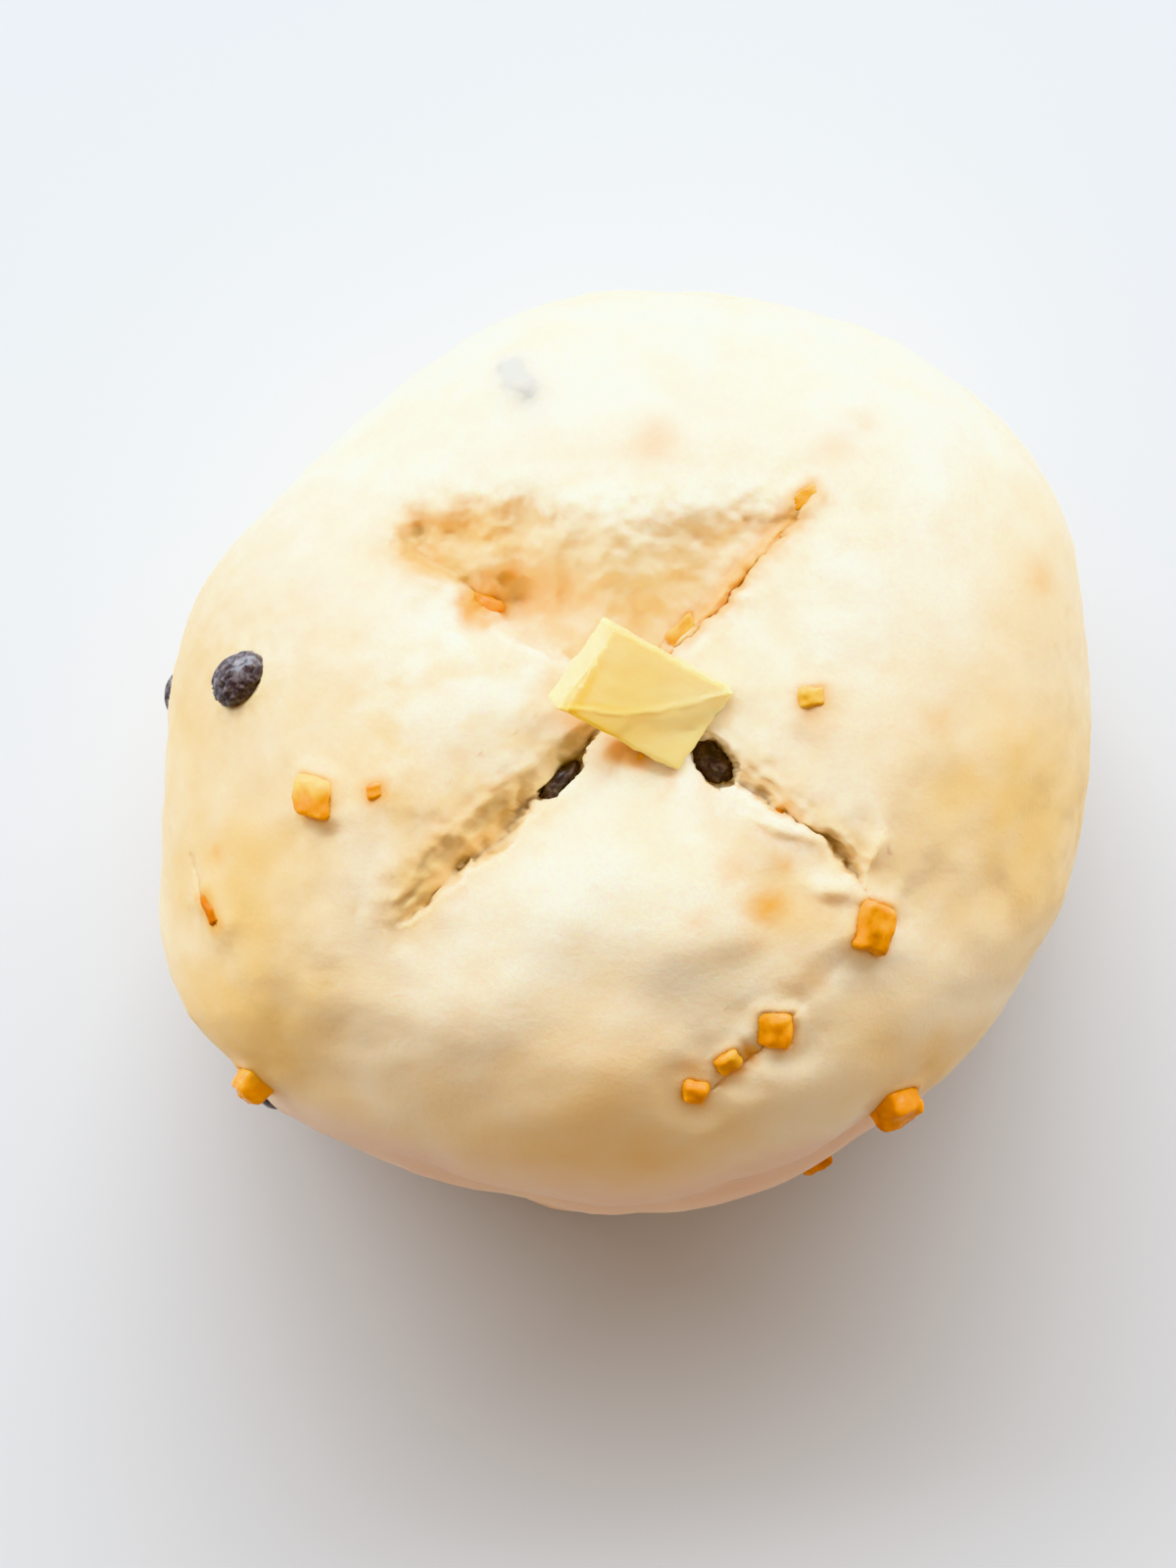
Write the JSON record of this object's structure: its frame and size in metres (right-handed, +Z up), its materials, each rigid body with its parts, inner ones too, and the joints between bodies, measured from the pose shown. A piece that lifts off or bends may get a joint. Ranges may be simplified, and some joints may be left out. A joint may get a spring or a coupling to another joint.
{
  "type": "panettone dough",
  "caption": "Ball of raw sweet dough for a festive loaf, scored with a cross and topped with a pat of butter, with raisins and candied peel in its skin.",
  "frame": {"origin": "middle of the footprint, on the surface it rests on", "axes": "+Z up; +Y towards the quarter that is pulled open, which is the side away from the reader"},
  "size_m": [0.1565, 0.1586, 0.0952],
  "materials": {
    "raw_dough": "satin, soft pale cream dough",
    "raisin_skin": "semi-gloss, wrinkled dark skin",
    "candied_orange": "glossy, wet sugared peel",
    "butter_pat": "soft satin, waxy"
  },
  "bodies": {
    "root": {"dough": "raw_dough", "butter": "butter_pat", "peel_east_side": "candied_orange", "peel_east_top": "candied_orange", "peel_north_east_cut": "candied_orange", "peel_north_east_side": "candied_orange", "peel_north_of_butter": "candied_orange", "peel_north_west_cut": "candied_orange", "peel_north_west_side": "candied_orange", "peel_south_crease": "candied_orange", "peel_south_crease_strip": "candied_orange", "peel_south_dot": "candied_orange", "peel_south_east_cut": "candied_orange", "peel_south_east_end": "candied_orange", "peel_south_east_side": "candied_orange", "peel_south_of_butter": "candied_orange", "peel_south_side": "candied_orange", "peel_south_west_side": "candied_orange", "peel_west_crack": "candied_orange", "peel_west_dot": "candied_orange", "peel_west_top": "candied_orange", "raisin_east_side": "raisin_skin", "raisin_north_side": "raisin_skin", "raisin_north_skin": "raisin_skin", "raisin_south_east_cut": "raisin_skin", "raisin_south_side": "raisin_skin", "raisin_south_west_cut": "raisin_skin", "raisin_south_west_side": "raisin_skin", "raisin_west_side": "raisin_skin", "raisin_west_top": "raisin_skin"}
  },
  "joints": []
}
